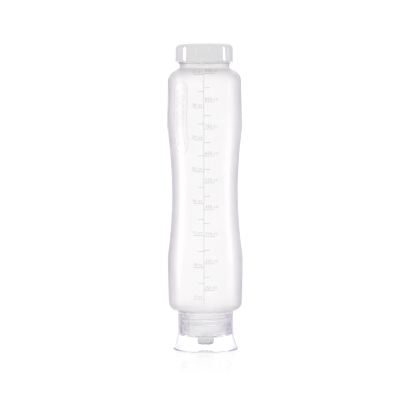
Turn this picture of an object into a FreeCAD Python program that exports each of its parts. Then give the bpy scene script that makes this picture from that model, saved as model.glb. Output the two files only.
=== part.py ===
"""An inverted squeeze dispenser for sauces: a waisted bottle with a neck at each end.

The upper neck takes a ribbed refill cap. The lower neck takes a dispensing cap with a
slit valve in its spout, and the whole bottle stands spout down in a flared base cover.
Lengths are in millimetres, angles in degrees, +Z is up, and Z = 0 is the table.
Every piece is turned about the Z axis.
"""

import FreeCAD, Part
import math
import os

from FreeCAD import Vector

# Whole object
HEIGHT = 305.0
FULL_TURN = 360.0
UP = Vector(0, 0, 1)
ORIGIN = Vector(0, 0, 0)

# Bottle shell, as (radius, height) of the corners of its outer outline
WALL = 1.2
FLOOR_Z = 39.1
FLOOR_CORNER = (36.49, 8.5)
LOWER_CREASE = (37.6, 91.7)
WAIST = (29.54, 155.2)
UPPER_CREASE = (37.4, 223.5)
SHOULDER = (36.06, 274.85)
CREASE_ROUNDING = 22.0
WAIST_ROUNDING = 432.0
SHOULDER_ROUNDING = 10.5
SHOULDER_SLOPE = 27.0

# Screw threads, the same form on both necks
PITCH = 4.0
THREAD_CREST = 1.0
THREAD_ROOT = 2.0
THREAD_BURIED = 0.3

# Upper neck, for refilling
UPPER_NECK = 24.6
UPPER_THREAD_ROOT = 24.4
UPPER_THREAD_CREST = 25.8
UPPER_BORE = 22.8
UPPER_NECK_TOP = 301.3
UPPER_THREAD_Z = 289.6
NECK_ROUNDING = 2.0
BEAD = 25.8
BEAD_Z = 284.5
BEAD_HEIGHT = 1.8

# Lower neck, for dispensing
LOWER_NECK = 22.0
LOWER_THREAD_CREST = 23.4
LOWER_BORE = 20.5
LOWER_NECK_END = 19.3
LOWER_THREAD_Z = 22.6
THREAD_TURNS = 2.25

# Raised oblong panel with grip loops on the bottle, left of the front
PANEL_AZIMUTH = -41.0
PANEL_MIDDLE_Z = 232.4
PANEL_LENGTH = 70.5
PANEL_WIDTH = 17.0
PANEL_LINE = 0.8
PANEL_RELIEF = 0.6
PANEL_DEPTH = 0.4
LOOP_COUNT = 8
LOOP_SPACING = 7.5
LOOP_HEIGHT = 5.8
LOOP_WIDTH = 10.6
LOOP_LINE = 1.3

# Refill cap
CAP_BOTTOM_Z = 286.7
CAP_RADIUS_BOTTOM = 28.45
CAP_RADIUS_TOP = 28.05
CAP_LIP = 28.75
CAP_LIP_HEIGHT = 0.9
CAP_CORNER = 4.0
CAP_CROWN = 0.5
CAP_INSIDE = 26.5
CAP_CEILING_Z = 303.2
CAP_THREAD_CREST = 25.1
CAP_THREAD_TURNS = 2.0
RIB_COUNT = 15
RIB_PHASE = -15.0
RIB_RADIUS = 0.75
RIB_STAND = 0.35
PLUG_OUTSIDE = 22.4
PLUG_WALL = 1.2
PLUG_DEPTH = 3.2

# Dispensing cap
COLLAR_TOP_Z = 36.3
COLLAR_RADIUS = 26.1
COLLAR_INSIDE = 24.0
COLLAR_THREAD_CREST = 22.6
COLLAR_BOTTOM_Z = 14.6
COLLAR_ROUNDING = 1.2
COLLAR_RIB_PHASE = -16.3
COLLAR_RIB_STAND = 0.3
LEDGE_Z = 17.3
LEDGE_INSIDE = 19.6
FUNNEL_TOP_Z = 16.2
FUNNEL_BOTTOM_Z = 12.4
CONE_BOTTOM_Z = 10.9
SPOUT_RADIUS = 8.5
SPOUT_BORE = 7.3
SPOUT_SHELF_Z = 6.3
SPOUT_MOUTH = 4.4
SPOUT_TIP_Z = 5.0
SPOUT_ROUNDING = 2.6

# Valve and its retaining ring
VALVE_FLANGE = 7.1
VALVE_FLANGE_HEIGHT = 1.5
VALVE_DOME = 4.1
VALVE_DIP = 0.9
VALVE_SKIN = 0.6
SLIT_WIDTH = 0.12
SLIT_LENGTH = 5.0
RING_BORE = 5.2
RING_HEIGHT = 2.6
RING_OUTSIDE = 7.2

# Sealing rings
SEAL_GAP = 0.05
REFILL_SEAL = (22.55, 25.0)
DISPENSING_SEAL = (20.3, 23.7)

# Base cover
COVER_RIM_Z = 38.9
COVER_RADIUS = 27.8
COVER_INSIDE = 26.8
FLARE_START_Z = 20.0
FLARE_FOOT = 32.5
FOOT_ROUNDING = 0.5
COVER_FLOOR_TOP_Z = 1.4


def rounded_edges(corners):
    """Edges through (radius, height[, rounding]) corners, each corner rounded by a tangent arc."""
    places = [Vector(c[0], 0, c[1]) for c in corners]
    roundings = [c[2] if len(c) > 2 else 0.0 for c in corners]
    edges = []
    leaves = []
    for i, here in enumerate(places):
        before = (places[i - 1] - here).normalize()
        after = (places[(i + 1) % len(places)] - here).normalize()
        if roundings[i] == 0.0:
            leaves.append((here, here))
            continue
        half = before.getAngle(after) / 2
        reach = roundings[i] / math.tan(half)
        middle = (before + after).normalize() * (roundings[i] / math.sin(half) - roundings[i])
        leaves.append((here + before * reach, here + after * reach))
        arc = Part.Arc(leaves[i][0], here + middle, leaves[i][1])
        edges.append(arc.toShape())
    for i, (_, start) in enumerate(leaves):
        end = leaves[(i + 1) % len(leaves)][0]
        if start.distanceToPoint(end) > 1e-6:
            edges.append(Part.makeLine(start, end))
    return edges


def turned(corners):
    """The solid turned from a closed outline of corners about the Z axis."""
    wire = Part.Wire(Part.__sortEdges__(rounded_edges(corners)))
    return Part.Face(wire).revolve(ORIGIN, UP, FULL_TURN)


def thread(root, crest, start_z, turns):
    """A right-hand screw thread from radius root to radius crest, buried a little in its wall."""
    inward = 1.0 if root > crest else -1.0
    foot = root + inward * THREAD_BURIED
    helix = Part.makeHelix(PITCH, PITCH * turns, foot)
    slope = (THREAD_ROOT - THREAD_CREST) / 2 / abs(crest - root)
    half_foot = THREAD_ROOT / 2 + slope * THREAD_BURIED
    half_crest = THREAD_CREST / 2
    section = Part.makePolygon([
        Vector(foot, 0, -half_foot),
        Vector(crest, 0, -half_crest),
        Vector(crest, 0, half_crest),
        Vector(foot, 0, half_foot),
        Vector(foot, 0, -half_foot),
    ])
    ridge = Part.Wire(helix.Edges).makePipeShell([section], True, True)
    ridge.translate(UP * start_z)
    return ridge


def around(shape, count, phase):
    """Copies of a shape spread evenly about the Z axis, the first at the given azimuth."""
    copies = []
    for i in range(count):
        copy = shape.copy()
        copy.rotate(ORIGIN, UP, phase + i * FULL_TURN / count)
        copies.append(copy)
    return copies


def bar_rib(low, high, radius):
    """A round-ended rib between two points."""
    body = Part.makeCylinder(radius, low.distanceToPoint(high), low, high - low)
    return body.fuse([Part.makeSphere(radius, low), Part.makeSphere(radius, high)])


def shell_corners(inset):
    """Corners of the bottle's side, from floor to shoulder, moved inward by inset."""
    floor_radius, floor_rounding = FLOOR_CORNER
    slope = math.tan(math.radians(SHOULDER_SLOPE))
    neck_rise = (SHOULDER[0] - UPPER_NECK) * slope
    return [
        (floor_radius - inset, FLOOR_Z + inset, floor_rounding - inset),
        (LOWER_CREASE[0] - inset, LOWER_CREASE[1], CREASE_ROUNDING - inset),
        (WAIST[0] - inset, WAIST[1], WAIST_ROUNDING + inset),
        (UPPER_CREASE[0] - inset, UPPER_CREASE[1], CREASE_ROUNDING - inset),
        (SHOULDER[0] - inset, SHOULDER[1] - inset, SHOULDER_ROUNDING - inset),
        (UPPER_NECK, SHOULDER[1] + neck_rise - inset),
    ]


def oblong(length, width, middle_z):
    """An upright or lying round-ended oblong prism that reaches out along +X."""
    depth = 2 * LOWER_CREASE[0]
    radius = min(length, width) / 2
    reach_z = (length - width) / 2 if length > width else 0.0
    reach_y = (width - length) / 2 if width > length else 0.0
    out = Vector(1, 0, 0)
    ends = []
    for side in (-1, 1):
        centre = Vector(0, side * reach_y, middle_z + side * reach_z)
        ends.append(Part.makeCylinder(radius, depth, centre, out))
    corner = Vector(0, -(reach_y or radius), middle_z - (reach_z or radius))
    middle = Part.makeBox(depth, 2 * (reach_y or radius), 2 * (reach_z or radius), corner)
    return middle.fuse(ends)


def filled_side(inset):
    """The bottle's side as a filled solid, from floor to shoulder."""
    return turned([(0.0, FLOOR_Z), *shell_corners(inset)[:-1], (0.0, SHOULDER[1])])


def outline(length, width, line, middle_z):
    """The prism of an oblong's outline, of one line width."""
    hole = oblong(length - 2 * line, width - 2 * line, middle_z)
    return oblong(length, width, middle_z).cut(hole)


def panel():
    """The raised outline and grip loops, cut from a thin skin that follows the bottle's side."""
    raised = [outline(PANEL_LENGTH, PANEL_WIDTH, PANEL_LINE, PANEL_MIDDLE_Z)]
    for i in range(LOOP_COUNT):
        loop_z = PANEL_MIDDLE_Z + (i - (LOOP_COUNT - 1) / 2) * LOOP_SPACING
        raised.append(outline(LOOP_HEIGHT, LOOP_WIDTH, LOOP_LINE, loop_z))
    skin = filled_side(-PANEL_RELIEF).cut(filled_side(PANEL_DEPTH))
    pieces = [skin.common(piece) for piece in raised]
    facing = -90.0 + PANEL_AZIMUTH
    for piece in pieces:
        piece.rotate(ORIGIN, UP, facing)
    return pieces


def bottle_body():
    outside = shell_corners(0.0)
    inside = shell_corners(WALL)
    shoulder_root = outside[-1][1]
    ceiling = inside[-1][1]
    corners = [
        (LOWER_BORE, LOWER_NECK_END),
        (LOWER_NECK, LOWER_NECK_END, 0.4),
        (LOWER_NECK, FLOOR_Z, 0.8),
        *outside[:-1],
        (UPPER_NECK, shoulder_root, NECK_ROUNDING),
        (UPPER_NECK, BEAD_Z),
        (BEAD, BEAD_Z + 0.4, 0.4),
        (BEAD, BEAD_Z + BEAD_HEIGHT, 0.4),
        (UPPER_THREAD_ROOT, BEAD_Z + BEAD_HEIGHT + 0.6),
        (UPPER_THREAD_ROOT, UPPER_NECK_TOP, 0.4),
        (UPPER_BORE, UPPER_NECK_TOP),
        (UPPER_BORE, ceiling, NECK_ROUNDING),
        *reversed(inside[:-1]),
        (LOWER_BORE, FLOOR_Z + WALL, 0.8),
    ]
    upper = thread(UPPER_THREAD_ROOT, UPPER_THREAD_CREST, UPPER_THREAD_Z, THREAD_TURNS)
    lower = thread(LOWER_NECK, LOWER_THREAD_CREST, LOWER_THREAD_Z, THREAD_TURNS)
    return turned(corners).fuse([upper, lower] + panel()).removeSplitter()


def refill_cap():
    draft = (CAP_RADIUS_BOTTOM - CAP_RADIUS_TOP) / (HEIGHT - CAP_BOTTOM_Z)
    shell = turned([
        (CAP_INSIDE, CAP_BOTTOM_Z),
        (CAP_LIP, CAP_BOTTOM_Z, 0.3),
        (CAP_LIP, CAP_BOTTOM_Z + CAP_LIP_HEIGHT, 0.3),
        (CAP_RADIUS_BOTTOM, CAP_BOTTOM_Z + CAP_LIP_HEIGHT + 0.6),
        (CAP_RADIUS_TOP, HEIGHT - CAP_CROWN, CAP_CORNER),
        (0.0, HEIGHT),
        (0.0, CAP_CEILING_Z),
        (PLUG_OUTSIDE - PLUG_WALL, CAP_CEILING_Z, 0.5),
        (PLUG_OUTSIDE - PLUG_WALL, CAP_CEILING_Z - PLUG_DEPTH, 0.3),
        (PLUG_OUTSIDE, CAP_CEILING_Z - PLUG_DEPTH, 0.4),
        (PLUG_OUTSIDE, CAP_CEILING_Z),
        (CAP_INSIDE, CAP_CEILING_Z),
    ])
    rib_low = CAP_BOTTOM_Z + CAP_LIP_HEIGHT + RIB_RADIUS
    rib_high = HEIGHT - CAP_CROWN - CAP_CORNER
    sink = RIB_STAND - RIB_RADIUS
    low = Vector(0, -(CAP_RADIUS_BOTTOM + sink), rib_low)
    top_radius = CAP_RADIUS_TOP + draft * CAP_CORNER + sink
    high = Vector(0, -top_radius, rib_high)
    ribs = around(bar_rib(low, high, RIB_RADIUS), RIB_COUNT, RIB_PHASE)
    start = UPPER_THREAD_Z + PITCH / 2
    screw = thread(CAP_INSIDE, CAP_THREAD_CREST, start, CAP_THREAD_TURNS)
    return shell.fuse(ribs + [screw]).removeSplitter()


def sealing_ring(radii, low_z, high_z):
    inner, outer = radii
    return turned([
        (inner, low_z, 0.2),
        (outer, low_z, 0.2),
        (outer, high_z, 0.2),
        (inner, high_z, 0.2),
    ])


def refill_seal():
    return sealing_ring(REFILL_SEAL, UPPER_NECK_TOP + SEAL_GAP, CAP_CEILING_Z - SEAL_GAP)


def dispensing_seal():
    return sealing_ring(DISPENSING_SEAL, LEDGE_Z + SEAL_GAP, LOWER_NECK_END - SEAL_GAP)


def dispensing_cap():
    body = turned([
        (COLLAR_RADIUS, COLLAR_TOP_Z, 0.4),
        (COLLAR_RADIUS, COLLAR_BOTTOM_Z, COLLAR_ROUNDING),
        (SPOUT_RADIUS, CONE_BOTTOM_Z, 0.8),
        (SPOUT_RADIUS, SPOUT_TIP_Z, SPOUT_ROUNDING),
        (SPOUT_MOUTH, SPOUT_TIP_Z, 0.3),
        (SPOUT_MOUTH, SPOUT_SHELF_Z, 0.2),
        (SPOUT_BORE, SPOUT_SHELF_Z),
        (SPOUT_BORE, FUNNEL_BOTTOM_Z, 0.8),
        (LEDGE_INSIDE, FUNNEL_TOP_Z),
        (LEDGE_INSIDE, LEDGE_Z, 0.3),
        (COLLAR_INSIDE, LEDGE_Z),
        (COLLAR_INSIDE, COLLAR_TOP_Z, 0.4),
    ])
    sink = COLLAR_RIB_STAND - RIB_RADIUS
    low = Vector(0, -(COLLAR_RADIUS + sink), COLLAR_BOTTOM_Z + 2 * RIB_RADIUS)
    high = Vector(0, -(COLLAR_RADIUS + sink), COLLAR_TOP_Z - 2 * RIB_RADIUS)
    ribs = around(bar_rib(low, high, RIB_RADIUS), RIB_COUNT, COLLAR_RIB_PHASE)
    start = LOWER_THREAD_Z + PITCH / 2
    screw = thread(COLLAR_INSIDE, COLLAR_THREAD_CREST, start, CAP_THREAD_TURNS)
    return body.fuse(ribs + [screw]).removeSplitter()


def silicone_valve():
    seat = SPOUT_SHELF_Z
    dome_low = seat - VALVE_DIP
    body = turned([
        (0.0, dome_low),
        (VALVE_DOME, dome_low, 0.5),
        (VALVE_DOME, seat, 0.1),
        (VALVE_FLANGE, seat, 0.2),
        (VALVE_FLANGE, seat + VALVE_FLANGE_HEIGHT, 0.2),
        (VALVE_DOME, seat + VALVE_FLANGE_HEIGHT, 1.0),
        (VALVE_SKIN, dome_low + VALVE_SKIN, 0.2),
        (0.0, dome_low + VALVE_SKIN),
    ])
    half = SLIT_LENGTH / 2
    for turn in (45.0, 135.0):
        corner = Vector(-half, -SLIT_WIDTH / 2, dome_low - 1)
        slit = Part.makeBox(SLIT_LENGTH, SLIT_WIDTH, 4 * VALVE_FLANGE_HEIGHT, corner)
        slit.rotate(ORIGIN, UP, turn)
        body = body.cut(slit)
    return body


def valve_retainer_ring():
    low = SPOUT_SHELF_Z + VALVE_FLANGE_HEIGHT
    return turned([
        (RING_BORE, low, 0.2),
        (RING_OUTSIDE, low, 0.3),
        (RING_OUTSIDE, low + RING_HEIGHT, 0.3),
        (RING_BORE + 0.8, low + RING_HEIGHT, 0.2),
        (RING_BORE, low + RING_HEIGHT - 0.8, 0.2),
    ])


def flare_arc(top, foot, low_z):
    """The (middle, end) of a flare that leaves a vertical wall and reaches foot at low_z."""
    drop = FLARE_START_Z - low_z
    spread = foot - top
    radius = (drop ** 2 + spread ** 2) / (2 * spread)
    middle_drop = drop / 2
    middle = top + radius - math.sqrt(radius ** 2 - middle_drop ** 2)
    return Vector(middle, 0, FLARE_START_Z - middle_drop), Vector(foot, 0, low_z)


def base_cover():
    wall = COVER_RADIUS - COVER_INSIDE
    out_middle, out_foot = flare_arc(COVER_RADIUS, FLARE_FOOT, FOOT_ROUNDING)
    in_middle, in_foot = flare_arc(COVER_INSIDE, FLARE_FOOT - wall, COVER_FLOOR_TOP_Z)
    out_top = Vector(COVER_RADIUS, 0, FLARE_START_Z)
    in_top = Vector(COVER_INSIDE, 0, FLARE_START_Z)
    rim_out = Vector(COVER_RADIUS, 0, COVER_RIM_Z - FOOT_ROUNDING)
    rim_top = Vector(COVER_RADIUS - FOOT_ROUNDING, 0, COVER_RIM_Z)
    rim_in = Vector(COVER_INSIDE, 0, COVER_RIM_Z)
    foot_low = Vector(FLARE_FOOT - FOOT_ROUNDING, 0, 0)
    path = [
        in_foot,
        Vector(0, 0, COVER_FLOOR_TOP_Z),
        ORIGIN,
        foot_low,
        out_foot,
    ]
    edges = [Part.makeLine(a, b) for a, b in zip(path[:-1], path[1:])]
    edges += [
        Part.Arc(out_foot, out_middle, out_top).toShape(),
        Part.makeLine(out_top, rim_out),
        Part.makeLine(rim_out, rim_top),
        Part.makeLine(rim_top, rim_in),
        Part.makeLine(rim_in, in_top),
        Part.Arc(in_top, in_middle, in_foot).toShape(),
    ]
    wire = Part.Wire(Part.__sortEdges__(edges))
    return Part.Face(wire).revolve(ORIGIN, UP, FULL_TURN)


PIECES = (
    base_cover,
    bottle_body,
    dispensing_cap,
    dispensing_seal,
    refill_cap,
    refill_seal,
    silicone_valve,
    valve_retainer_ring,
)

os.makedirs("parts", exist_ok=True)
for make in PIECES:
    piece = make()
    name = make.__name__
    valid = piece.isValid()
    print(name, "solids", len(piece.Solids), "valid", valid, "volume", round(piece.Volume))
    piece.exportStep("parts/" + name + ".step")
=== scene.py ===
import math

import bpy
from mathutils import Matrix, Vector
from mathutils.bvhtree import BVHTree


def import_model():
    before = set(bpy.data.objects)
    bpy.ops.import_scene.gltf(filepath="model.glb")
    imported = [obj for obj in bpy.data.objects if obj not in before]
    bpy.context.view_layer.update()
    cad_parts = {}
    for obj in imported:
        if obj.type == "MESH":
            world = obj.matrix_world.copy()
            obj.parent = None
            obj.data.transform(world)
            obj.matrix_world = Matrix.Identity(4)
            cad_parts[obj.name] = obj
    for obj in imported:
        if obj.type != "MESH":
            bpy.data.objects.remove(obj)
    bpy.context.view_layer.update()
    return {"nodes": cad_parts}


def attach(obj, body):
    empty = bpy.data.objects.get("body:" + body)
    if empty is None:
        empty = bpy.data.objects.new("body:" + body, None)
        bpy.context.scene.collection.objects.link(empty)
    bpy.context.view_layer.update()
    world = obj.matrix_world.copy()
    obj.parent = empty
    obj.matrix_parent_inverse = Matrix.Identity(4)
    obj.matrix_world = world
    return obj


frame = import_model()
nodes = frame["nodes"]

MM = 0.001

# Camera, in front of the bottle and looking slightly down; its focal length is a share of its
# sensor's width
CAMERA_DISTANCE = 1.75
CAMERA_SIDE = -0.005
EYE_HEIGHT = 0.262
PITCH_DOWN = math.radians(3.685)
ROLL = math.radians(-0.27)
SENSOR = 36.0
FOCAL_SHARE = 4.392

# Printed scale: filling marks in millilitres and ounces
FIRST_ML = 150
LAST_ML = 950
ML_STEP = 100
FIRST_OZ = 4
LAST_OZ = 32
OZ_STEP = 4
ML_PER_OZ = 29.574

# Height of a mark in millimetres: the body is nearly even, and the shoulder narrows it
FIRST_ML_Z = 62.6
MM_PER_ML = 0.2639
SHOULDER_ML = 850
SHOULDER_MM_PER_ML = 0.2761

# Layout of the print in millimetres, x to the right of the bottle's middle. The width is that of
# the sample label, and every label takes the same scale.
SCALE_LINE_X = -1.15
SCALE_BOTTOM_Z = 49.5
LINE_WIDTH = 0.32
LONG_TICK_ML = 9.3
SHORT_TICK_ML = 4.9
LONG_TICK_OZ = -11.4
SHORT_TICK_OZ = -6.6
LABEL_ML_X = 0.2
LABEL_OZ_X = -2.8
LABEL_RISE = 1.2
LABEL_SAMPLE = "850 ml"
LABEL_WIDTH = 12.0
DIGIT_HEIGHT = 3.0
PRINT_LEAN = 0.0035
PRINT_MIDDLE_Z = 162.0

# The print is projected from FRONT_Y onto the bottle, as ink of this depth in millimetres
FRONT_Y = -200.0
INK_PROUD = 0.04
INK_SUNK = 0.03
INK_STEP = 1.5

# Letters in the built-in font's own units
LETTER_THINNING = -0.018
LETTER_DEPTH = 0.1
LETTER_CURVE_STEPS = 3

# Noise in features per metre, and the middle stretch of it that is used
CLOUD_SCALE = 38.0
CLOUD_RANGE = (0.35, 0.65)
GRAIN_SCALE = 90.0
GRAIN_RANGE = (0.3, 0.7)
RIPPLE_SCALE = 45.0
RIPPLE_STRETCH = (1.0, 1.0, 0.4)
RIPPLE_STRENGTH = 0.6

# Studio light; the ranges are of X, Y or Z of the unit direction that it comes from
SEEN_LIGHT = 1.05
FRONT_LIGHT = (0.92, 0.92, 0.92)
BACK_LIGHT = (1.19, 1.19, 1.18)
BACK_Y = (-0.3, 0.5)
WARM_LIGHT = (1.28, 1.11, 1.15)
WARM_X = (0.16, 0.38)
SIDE_LIGHT = (0.6, 0.57, 0.7)
SIDE_X = (0.40, 0.68)
SIDE_Y = (-0.3, 0.1)
OPEN_X = (0.84, 0.96)
LOW_Z = (0.0, 0.17)
LOW_NARROWING = 0.26

# Floor
FLOOR_Z = -0.0002
FLOOR_HALF = 4.0
FLOOR_SOFTENING = 0.12
FLOOR_ROUGHNESS = 0.08
REFLECTION = 0.2
REFLECTION_REACH = (0.05, 0.27)

# Softboxes: name, azimuth from the front towards +X, width, low and high edge, radiance
SOFTBOX_DISTANCE = 0.4
SOFTBOXES = (
    ("softbox_left_low", -84.0, 0.09, 0.01, 0.19, 8.5),
    ("softbox_left_high", -84.0, 0.10, 0.28, 0.36, 12.0),
    ("softbox_right_low", 84.0, 0.065, 0.01, 0.22, 8.5),
    ("softbox_right_high", 84.0, 0.065, 0.28, 0.36, 10.0),
)

BOUNCES = 32
DIFFUSE_BOUNCES = 12


def add(name, data):
    """A new object in the scene with that mesh, curve, light or camera."""
    obj = bpy.data.objects.new(name, data)
    bpy.context.scene.collection.objects.link(obj)
    return obj


# ---- Shading ----

class Shading:
    """Builds the nodes of one material or world."""

    def __init__(self, owner):
        owner.use_nodes = True
        self.nodes = owner.node_tree.nodes
        self.links = owner.node_tree.links
        self.nodes.clear()

    def node(self, kind, inputs):
        """A new node whose inputs are linked from sockets, or set to plain values."""
        node = self.nodes.new(kind)
        for name, value in inputs.items():
            socket = node.inputs[name]
            if isinstance(value, bpy.types.NodeSocket):
                self.links.new(value, socket)
            elif socket.type == "RGBA":
                socket.default_value = (*value, 1.0)
            else:
                socket.default_value = value
        return node

    def place(self, kind="Object"):
        """A position in the piece's own space, or a world's direction when kind is Generated."""
        return self.node("ShaderNodeTexCoord", {}).outputs[kind]

    def noise(self, scale, detail, stretch=(1.0, 1.0, 1.0)):
        mapping = self.node("ShaderNodeMapping", {"Vector": self.place(), "Scale": stretch})
        texture = self.node("ShaderNodeTexNoise", {
            "Vector": mapping.outputs["Vector"],
            "Scale": scale,
            "Detail": detail,
        })
        return texture.outputs["Fac"]

    def ramp(self, value, source, target=(0.0, 1.0), smooth=False):
        """The source range of a value spread over the target range, and held beyond it."""
        node = self.node("ShaderNodeMapRange", {
            "Value": value,
            "From Min": source[0],
            "From Max": source[1],
            "To Min": target[0],
            "To Max": target[1],
        })
        if smooth:
            node.interpolation_type = "SMOOTHSTEP"
        return node.outputs["Result"]

    def maths(self, operation, first, second=0.0):
        node = self.node("ShaderNodeMath", {0: first, 1: second})
        node.operation = operation
        return node.outputs["Value"]

    def mixed(self, share, first, second):
        """A mix of two colours, from the first at share 0 to the second at 1."""
        inputs = {"Fac": share, "Color1": first, "Color2": second}
        return self.node("ShaderNodeMixRGB", inputs).outputs["Color"]

    def mixed_shaders(self, share, first, second):
        inputs = {"Fac": share, 1: first, 2: second}
        return self.node("ShaderNodeMixShader", inputs).outputs["Shader"]


def plastic(name, colours, roughness, ior=1.5, transmission=0.0, absorb=None, density=0.0,
            ripple=0.0003, gloss=0.5):
    """Moulded plastic: two close tints, wandering roughness, a faint ripple, and tint by depth."""
    material = bpy.data.materials.new(name)
    shading = Shading(material)
    cloud = shading.ramp(shading.noise(CLOUD_SCALE, 3.0), CLOUD_RANGE)
    grain = shading.ramp(shading.noise(GRAIN_SCALE, 2.0), GRAIN_RANGE, roughness)
    bump = shading.node("ShaderNodeBump", {
        "Height": shading.noise(RIPPLE_SCALE, 1.0, RIPPLE_STRETCH),
        "Distance": ripple,
        "Strength": RIPPLE_STRENGTH,
    })
    shader = shading.node("ShaderNodeBsdfPrincipled", {
        "Base Color": shading.mixed(cloud, *colours),
        "Roughness": grain,
        "IOR": ior,
        "Transmission Weight": transmission,
        "Specular IOR Level": gloss,
        "Normal": bump.outputs["Normal"],
    })
    output = {"Surface": shader.outputs["BSDF"]}
    if absorb:
        volume = shading.node("ShaderNodeVolumeAbsorption", {"Color": absorb, "Density": density})
        output["Volume"] = volume.outputs["Volume"]
    shading.node("ShaderNodeOutputMaterial", output)
    return material


# ---- Materials of the CAD pieces ----

def paint(obj, material):
    """Gives a piece this one material."""
    obj.data.materials.clear()
    obj.data.materials.append(material)


clear = plastic(
    "clear_cover", ((1.0, 1.0, 1.0), (0.99, 0.99, 1.0)), (0.02, 0.05),
    transmission=1.0, absorb=(0.70, 0.63, 0.80), density=9.0, gloss=0.4)
milky = plastic(
    "translucent_bottle", ((0.985, 0.99, 0.985), (0.995, 0.985, 0.985)), (0.29, 0.34),
    transmission=0.85, absorb=(0.76, 0.70, 0.70), density=4.0, gloss=0.2)
frosted = plastic(
    "frosted_cap", ((0.99, 0.99, 0.995), (0.985, 0.985, 0.99)), (0.18, 0.24),
    ior=1.36, transmission=0.93, absorb=(0.80, 0.78, 0.84), density=2.0, gloss=0.3)
white = plastic(
    "white_cap", ((0.78, 0.78, 0.79), (0.80, 0.80, 0.81)), (0.05, 0.08), ripple=0.0001)
soft = plastic(
    "silicone", ((0.97, 0.97, 0.98), (0.98, 0.98, 0.99)), (0.4, 0.5),
    ior=1.41, transmission=0.7, absorb=(0.7, 0.7, 0.74), density=8.0)
foam = plastic(
    "seal_foam", ((0.90, 0.90, 0.90), (0.87, 0.87, 0.88)), (0.6, 0.7))
ink = plastic(
    "scale_ink", ((0.46, 0.465, 0.475), (0.50, 0.505, 0.515)), (0.45, 0.6), ripple=0.00005)

for node, material in {
    "base_cover": clear,
    "bottle_body": milky,
    "dispensing_cap": frosted,
    "valve_retainer_ring": frosted,
    "refill_cap": white,
    "silicone_valve": soft,
    "dispensing_seal": foam,
    "refill_seal": foam,
}.items():
    paint(nodes[node], material)


# ---- Printed scale ----

def surface_tree(obj):
    """A search tree of a CAD piece's surface in the row frame."""
    bpy.context.view_layer.update()
    place = obj.matrix_world
    corners = [place @ v.co for v in obj.data.vertices]
    faces = [tuple(p.vertices) for p in obj.data.polygons]
    return BVHTree.FromPolygons(corners, faces)


def level(ml):
    """Height of a filling mark, in millimetres."""
    in_body = min(ml, SHOULDER_ML) - FIRST_ML
    above = max(ml - SHOULDER_ML, 0)
    return FIRST_ML_Z + in_body * MM_PER_ML + above * SHOULDER_MM_PER_ML


class Print:
    """Flat shapes in millimetres, x across and z up, that are laid on the bottle's front."""

    def __init__(self):
        self.points = []
        self.faces = []

    def bar(self, x0, x1, z0, z1):
        """A closed bar, cut into short lengths so that it can bend."""
        across = x1 - x0 > z1 - z0
        length = x1 - x0 if across else z1 - z0
        steps = max(1, round(length / INK_STEP))
        first = len(self.points)
        for i in range(steps + 1):
            t = i / steps
            if across:
                ends = [(x0 + (x1 - x0) * t, z0), (x0 + (x1 - x0) * t, z1)]
            else:
                ends = [(x1, z0 + (z1 - z0) * t), (x0, z0 + (z1 - z0) * t)]
            self.points += [(x, z, depth) for depth in (-1, 1) for x, z in ends]
        for i in range(steps):
            a = first + 4 * i
            b = a + 4
            for near, far in ((0, 1), (1, 3), (3, 2), (2, 0)):
                self.faces.append((a + near, a + far, b + far, b + near))
        last = first + 4 * steps
        self.faces.append((first, first + 2, first + 3, first + 1))
        self.faces.append((last, last + 1, last + 3, last + 2))

    def mesh_part(self, mesh, x, z, scale_x, scale_z):
        """A copy of an extruded lettering mesh, its lower left corner at (x, z)."""
        first = len(self.points)
        left = min(v.co.x for v in mesh.vertices)
        for v in mesh.vertices:
            depth = 1 if v.co.z > 0 else -1
            self.points.append((x + (v.co.x - left) * scale_x, z + v.co.y * scale_z, depth))
        self.faces += [tuple(first + i for i in p.vertices) for p in mesh.polygons]

    def laid_on(self, tree):
        """The shapes as a mesh in metres, a hair proud of the surface in front of them."""
        corners = []
        for x, z, depth in self.points:
            x += PRINT_LEAN * (z - PRINT_MIDDLE_Z)
            start = Vector((x, FRONT_Y, z)) * MM
            place, normal, _, _ = tree.ray_cast(start, Vector((0, 1, 0)))
            lift = INK_PROUD if depth > 0 else -INK_SUNK
            corners.append(place + normal * lift * MM)
        mesh = bpy.data.meshes.new("printed_scale")
        mesh.from_pydata(corners, [], self.faces)
        mesh.validate()
        mesh.update()
        return mesh


def lettering(words):
    """The words as an extruded mesh in the built-in font, its baseline on y = 0."""
    curve = bpy.data.curves.new("label", "FONT")
    curve.body = words
    curve.extrude = LETTER_DEPTH
    curve.offset = LETTER_THINNING
    curve.resolution_u = LETTER_CURVE_STEPS
    obj = add("label", curve)
    evaluated = obj.evaluated_get(bpy.context.evaluated_depsgraph_get())
    mesh = bpy.data.meshes.new_from_object(evaluated)
    bpy.data.objects.remove(obj)
    bpy.data.curves.remove(curve)
    return mesh


def span(mesh, axis):
    values = [v.co[axis] for v in mesh.vertices]
    return max(values) - min(values)


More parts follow.
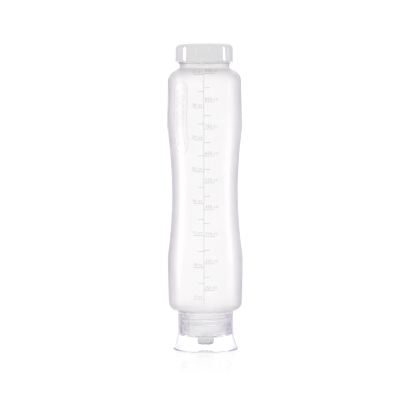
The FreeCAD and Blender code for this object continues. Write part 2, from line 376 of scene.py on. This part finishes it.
def printed_scale():
    """Adds the scale: millilitres right of an upright line and ounces left of it."""
    printed = Print()
    half = LINE_WIDTH / 2
    printed.bar(SCALE_LINE_X - half, SCALE_LINE_X + half, SCALE_BOTTOM_Z, level(LAST_ML) + half)
    scale_x = LABEL_WIDTH / span(lettering(LABEL_SAMPLE), 0)
    scale_z = DIGIT_HEIGHT / span(lettering("0"), 1)

    def tick(end, z):
        low, high = sorted((end, SCALE_LINE_X))
        printed.bar(low, high, z - half, z + half)

    for ml in range(FIRST_ML, LAST_ML + 1, ML_STEP):
        z = level(ml)
        tick(LONG_TICK_ML, z)
        printed.mesh_part(lettering(f"{ml} ml"), LABEL_ML_X, z + LABEL_RISE, scale_x, scale_z)
        if ml < LAST_ML:
            tick(SHORT_TICK_ML, level(ml + ML_STEP / 2))
    for oz in range(FIRST_OZ, LAST_OZ + 1, OZ_STEP):
        z = level(oz * ML_PER_OZ)
        label = lettering(f"{oz} oz")
        left = LABEL_OZ_X - span(label, 0) * scale_x
        tick(LONG_TICK_OZ, z)
        printed.mesh_part(label, left, z + LABEL_RISE, scale_x, scale_z)
        if oz < LAST_OZ:
            tick(SHORT_TICK_OZ, level((oz + OZ_STEP / 2) * ML_PER_OZ))
    obj = add("printed_scale", printed.laid_on(surface_tree(nodes["bottle_body"])))
    paint(obj, ink)
    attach(obj, "bottle")


printed_scale()


# ---- Studio ----

def lit_share(shading, seen, lit):
    """Mixes a shader for the camera's own rays with one for all other rays."""
    path = shading.node("ShaderNodeLightPath", {})
    return shading.mixed_shaders(path.outputs["Is Camera Ray"], lit, seen)


def studio_light(shading, direction):
    """The studio's light by direction: bright behind and warmer at the backdrop's edges, softer
    in front, and dim beside the backdrop, which is narrower near the table."""
    x, y, z = shading.node("ShaderNodeSeparateXYZ", {"Vector": direction}).outputs
    aside = shading.maths("ABSOLUTE", x)
    low = shading.ramp(shading.maths("ABSOLUTE", z), LOW_Z, (LOW_NARROWING, 0.0), smooth=True)
    outer = shading.ramp(shading.maths("ADD", aside, low), SIDE_X, smooth=True)
    inner = shading.ramp(aside, OPEN_X, (1.0, 0.0), smooth=True)
    rear = shading.ramp(y, SIDE_Y, smooth=True)
    dim = shading.maths("MULTIPLY", shading.maths("MULTIPLY", outer, inner), rear)
    warm = shading.ramp(aside, WARM_X, smooth=True)
    behind = shading.ramp(y, BACK_Y, smooth=True)
    backdrop = shading.mixed(warm, BACK_LIGHT, WARM_LIGHT)
    return shading.mixed(dim, shading.mixed(behind, FRONT_LIGHT, backdrop), SIDE_LIGHT)


def floor():
    """A plain white floor with a weak reflection that fades with distance from the foot."""
    mesh = bpy.data.meshes.new("floor")
    half = FLOOR_HALF
    corners = [(-half, -half), (half, -half), (half, half), (-half, half)]
    mesh.from_pydata([(x, y, FLOOR_Z) for x, y in corners], [], [(0, 1, 2, 3)])
    obj = add("floor", mesh)
    material = bpy.data.materials.new("floor")
    shading = Shading(material)
    place = shading.place()
    length = shading.node("ShaderNodeVectorMath", {0: place})
    length.operation = "LENGTH"
    distance = length.outputs["Value"]
    fading = shading.ramp(distance, REFLECTION_REACH, (REFLECTION, 0.0), smooth=True)
    glow = shading.node("ShaderNodeEmission", {"Strength": SEEN_LIGHT}).outputs["Emission"]
    gloss = shading.node("ShaderNodeBsdfGlossy", {"Roughness": FLOOR_ROUGHNESS}).outputs["BSDF"]
    seen = shading.mixed_shaders(fading, glow, gloss)
    share = shading.maths("DIVIDE", 1.0, shading.maths("ADD", distance, FLOOR_SOFTENING))
    outward = shading.node("ShaderNodeVectorMath", {0: place})
    outward.operation = "SCALE"
    shading.links.new(share, outward.inputs["Scale"])
    light = studio_light(shading, outward.outputs["Vector"])
    lit = shading.node("ShaderNodeEmission", {"Color": light}).outputs["Emission"]
    shading.node("ShaderNodeOutputMaterial", {"Surface": lit_share(shading, seen, lit)})
    mesh.materials.append(material)


def world():
    """White to the camera; the studio's light to everything else."""
    sky = bpy.data.worlds.new("studio")
    bpy.context.scene.world = sky
    shading = Shading(sky)
    seen = shading.node("ShaderNodeBackground", {"Color": (1.0, 1.0, 1.0), "Strength": SEEN_LIGHT})
    light = studio_light(shading, shading.place("Generated"))
    lit = shading.node("ShaderNodeBackground", {"Color": light})
    mix = lit_share(shading, seen.outputs["Background"], lit.outputs["Background"])
    shading.node("ShaderNodeOutputWorld", {"Surface": mix})


def softbox(name, azimuth, width, low, high, radiance):
    """An upright area light beside the bottle that faces its axis and shows only in gloss."""
    light = bpy.data.lights.new(name, "AREA")
    light.shape = "RECTANGLE"
    light.size = width
    light.size_y = high - low
    light.energy = radiance * math.pi * width * (high - low)
    obj = add(name, light)
    obj.visible_camera = False
    obj.visible_diffuse = False
    obj.visible_transmission = False
    angle = math.radians(azimuth)
    outward = Vector((math.sin(angle), -math.cos(angle), 0))
    obj.location = outward * SOFTBOX_DISTANCE + Vector((0, 0, (low + high) / 2))
    obj.rotation_euler = (-outward).to_track_quat("-Z", "Y").to_euler()


def camera():
    data = bpy.data.cameras.new("camera")
    data.sensor_width = SENSOR
    data.lens = SENSOR * FOCAL_SHARE
    obj = add("camera", data)
    aim = Matrix.Rotation(math.pi / 2 - PITCH_DOWN, 4, "X") @ Matrix.Rotation(ROLL, 4, "Z")
    obj.matrix_world = Matrix.Translation((CAMERA_SIDE, -CAMERA_DISTANCE, EYE_HEIGHT)) @ aim
    bpy.context.scene.camera = obj


def light_paths():
    """Plain colours, and enough bounces for light to pass every wall of the nested pieces."""
    scene = bpy.context.scene
    scene.view_settings.view_transform = "Standard"
    scene.cycles.blur_glossy = 0.0
    scene.cycles.max_bounces = BOUNCES
    scene.cycles.transmission_bounces = BOUNCES
    scene.cycles.glossy_bounces = BOUNCES
    scene.cycles.diffuse_bounces = DIFFUSE_BOUNCES


floor()
world()
for box in SOFTBOXES:
    softbox(*box)
camera()
light_paths()
